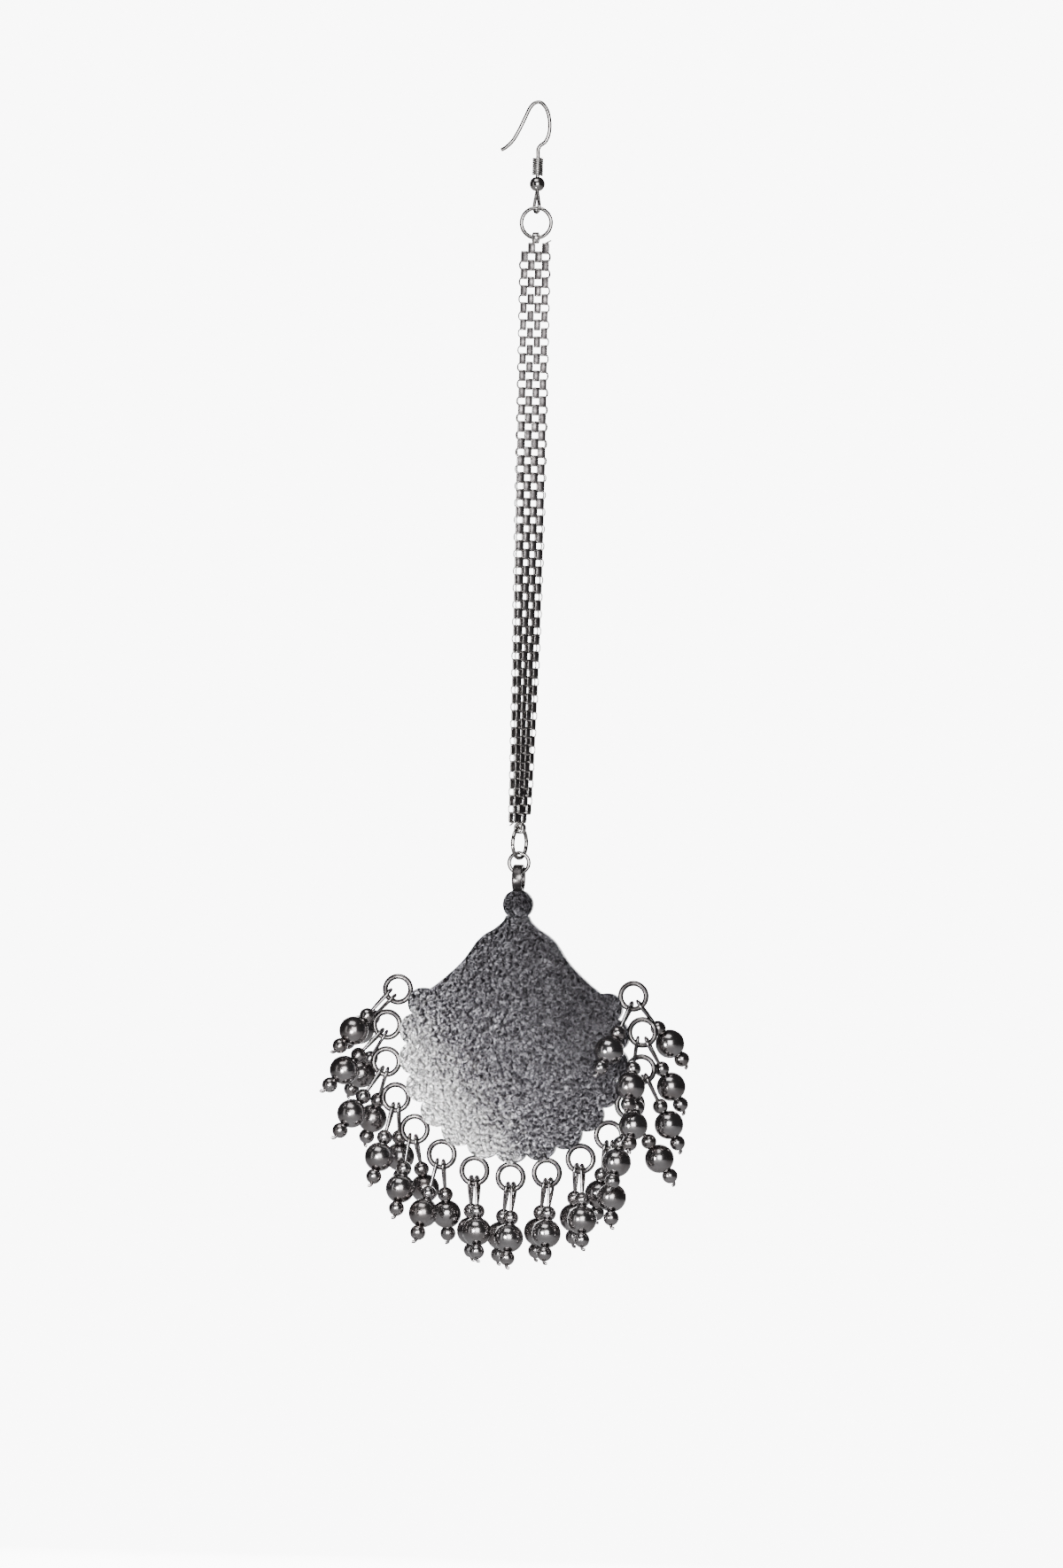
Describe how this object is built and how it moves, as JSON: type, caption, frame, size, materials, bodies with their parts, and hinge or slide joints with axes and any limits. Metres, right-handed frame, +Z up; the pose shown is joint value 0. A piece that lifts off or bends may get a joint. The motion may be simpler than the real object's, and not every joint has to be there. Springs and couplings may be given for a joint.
{
  "type": "maang tikka",
  "caption": "Forehead ornament: a wire hook and a woven mesh chain carry a scalloped silver plate with rim rings and hanging bead drops.",
  "frame": {"origin": "inside top of the hook's bend, where the ornament hangs", "axes": "+Z up along the hanging chain, -Y out of the plate's plain back, +X to the right in that view"},
  "size_m": [0.0642, 0.0166, 0.2061],
  "materials": {
    "bright_silver": "polished wire",
    "oxidised_silver": "oxidised, fine grained satin",
    "bead_silver": "dark polished",
    "chain_silver": "dull polished, dark in the weave"
  },
  "bodies": {
    "chain": {"ear_hook": "bright_silver", "hook_coil": "bright_silver", "hook_ball": "bright_silver", "top_jump_ring": "bright_silver", "mesh_chain": "chain_silver", "lower_link": "bright_silver", "lower_ring": "bright_silver"},
    "pendant": {"pendant_plate": "oxidised_silver", "drop_01_front": "bead_silver", "drop_01_back": "bead_silver", "drop_02_front": "bead_silver", "drop_02_back": "bead_silver", "drop_03_front": "bead_silver", "drop_03_back": "bead_silver", "drop_04_front": "bead_silver", "drop_04_back": "bead_silver", "drop_05_front": "bead_silver", "drop_05_back": "bead_silver", "drop_06_front": "bead_silver", "drop_06_back": "bead_silver", "drop_07_front": "bead_silver", "drop_07_back": "bead_silver", "drop_08_front": "bead_silver", "drop_08_back": "bead_silver", "drop_09_front": "bead_silver", "drop_09_back": "bead_silver", "drop_10_front": "bead_silver", "drop_10_back": "bead_silver", "drop_11_front": "bead_silver", "drop_11_back": "bead_silver", "drop_12_front": "bead_silver", "drop_12_back": "bead_silver", "drop_13_front": "bead_silver", "drop_13_back": "bead_silver", "drop_14_front": "bead_silver", "drop_14_back": "bead_silver", "drop_15_front": "bead_silver", "drop_15_back": "bead_silver"}
  },
  "joints": [
    {"name": "pendant_swing", "type": "hinge", "parent": "chain", "child": "pendant", "pos_m": [0, 0, -0.1356], "axis": [1, 0, 0], "range_deg": [-70, 70]}
  ]
}
